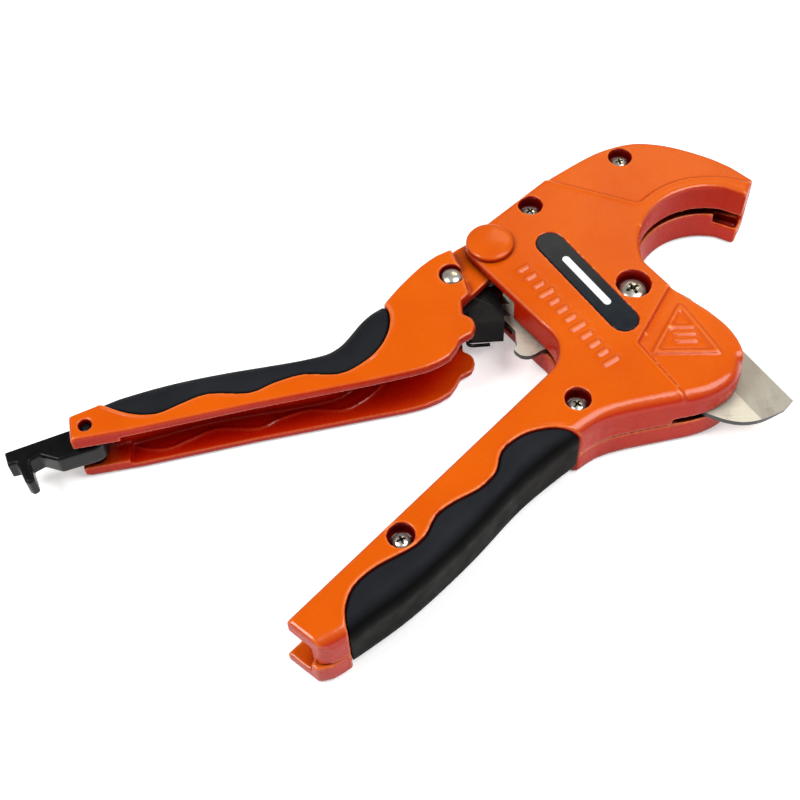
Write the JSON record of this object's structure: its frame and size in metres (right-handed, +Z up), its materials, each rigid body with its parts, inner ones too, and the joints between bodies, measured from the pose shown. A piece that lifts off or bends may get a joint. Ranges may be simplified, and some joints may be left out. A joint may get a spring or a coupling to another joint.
{
  "type": "ratchet pipe cutter",
  "caption": "One-hand ratchet cutter for plastic pipe: hooked jaw, pivoting toothed blade, fixed and hinged gripped handles with a swinging latch.",
  "frame": {"origin": "centre of the bounding box in plan, at the underside that the tool lies on", "axes": "+Z up through the flat tool, +X from the handle ends towards the jaw tip, +Y towards the back of the hooked jaw"},
  "size_m": [0.242, 0.1784, 0.0264],
  "materials": {
    "body_paint": "gloss orange paint over die-cast aluminium",
    "rivet_paint": "gloss orange paint over steel",
    "blade_steel": "ground satin",
    "nickel": "bright nickel plate",
    "spring_steel": "satin wire",
    "black_steel": "gloss black enamel",
    "rubber": "matte moulded rubber",
    "latch_plastic": "satin moulded plastic",
    "badge_film": "gloss film"
  },
  "bodies": {
    "body": {"upper_body_shell": "body_paint", "lower_body_shell": "body_paint", "badge_plate": "badge_film", "fixed_handle_grip": "rubber", "body_screw_1": "nickel", "body_screw_2": "nickel", "body_screw_3": "nickel", "body_screw_4": "nickel", "blade_pivot_screw": "nickel", "blade_pivot_nut": "nickel", "blade_pivot_sleeve": "spring_steel", "blade_return_spring": "spring_steel", "handle_pivot_rivet": "rivet_paint", "handle_return_spring": "spring_steel"},
    "handle": {"movable_handle": "body_paint", "movable_handle_grip": "rubber", "pawl_rivet": "nickel", "latch_pin": "black_steel"},
    "pawl": {"pawl": "blade_steel", "pawl_bracket": "black_steel", "pawl_spring": "spring_steel"},
    "latch": {"latch": "latch_plastic"},
    "blade": {"blade": "blade_steel"}
  },
  "joints": [
    {"name": "handle_pivot", "type": "hinge", "parent": "body", "child": "handle", "pos_m": [0.0309, 0.0468, 0.0118], "axis": [0, 0, 1], "range_deg": [0, 30], "stiffness_Nm_per_rad": 0.3, "springref_deg": -20.05},
    {"name": "pawl_pivot", "type": "hinge", "parent": "handle", "child": "pawl", "pos_m": [0.0177, 0.036, 0.0118], "axis": [0, 0, 1], "range_deg": [-52, 0]},
    {"name": "latch_pivot", "type": "hinge", "parent": "handle", "child": "latch", "pos_m": [-0.0953, -0.013, 0.0118], "axis": [0, 0, 1], "range_deg": [0, 80]},
    {"name": "blade_pivot", "type": "hinge", "parent": "body", "child": "blade", "pos_m": [0.0746, 0.0275, 0.01115], "axis": [0, 0, 1], "range_deg": [0, 92], "stiffness_Nm_per_rad": 0.05, "springref_deg": -34.38}
  ],
  "couplings": [
    {"joint": "pawl_pivot", "follows": "handle_pivot", "ratio": -1.68}
  ]
}
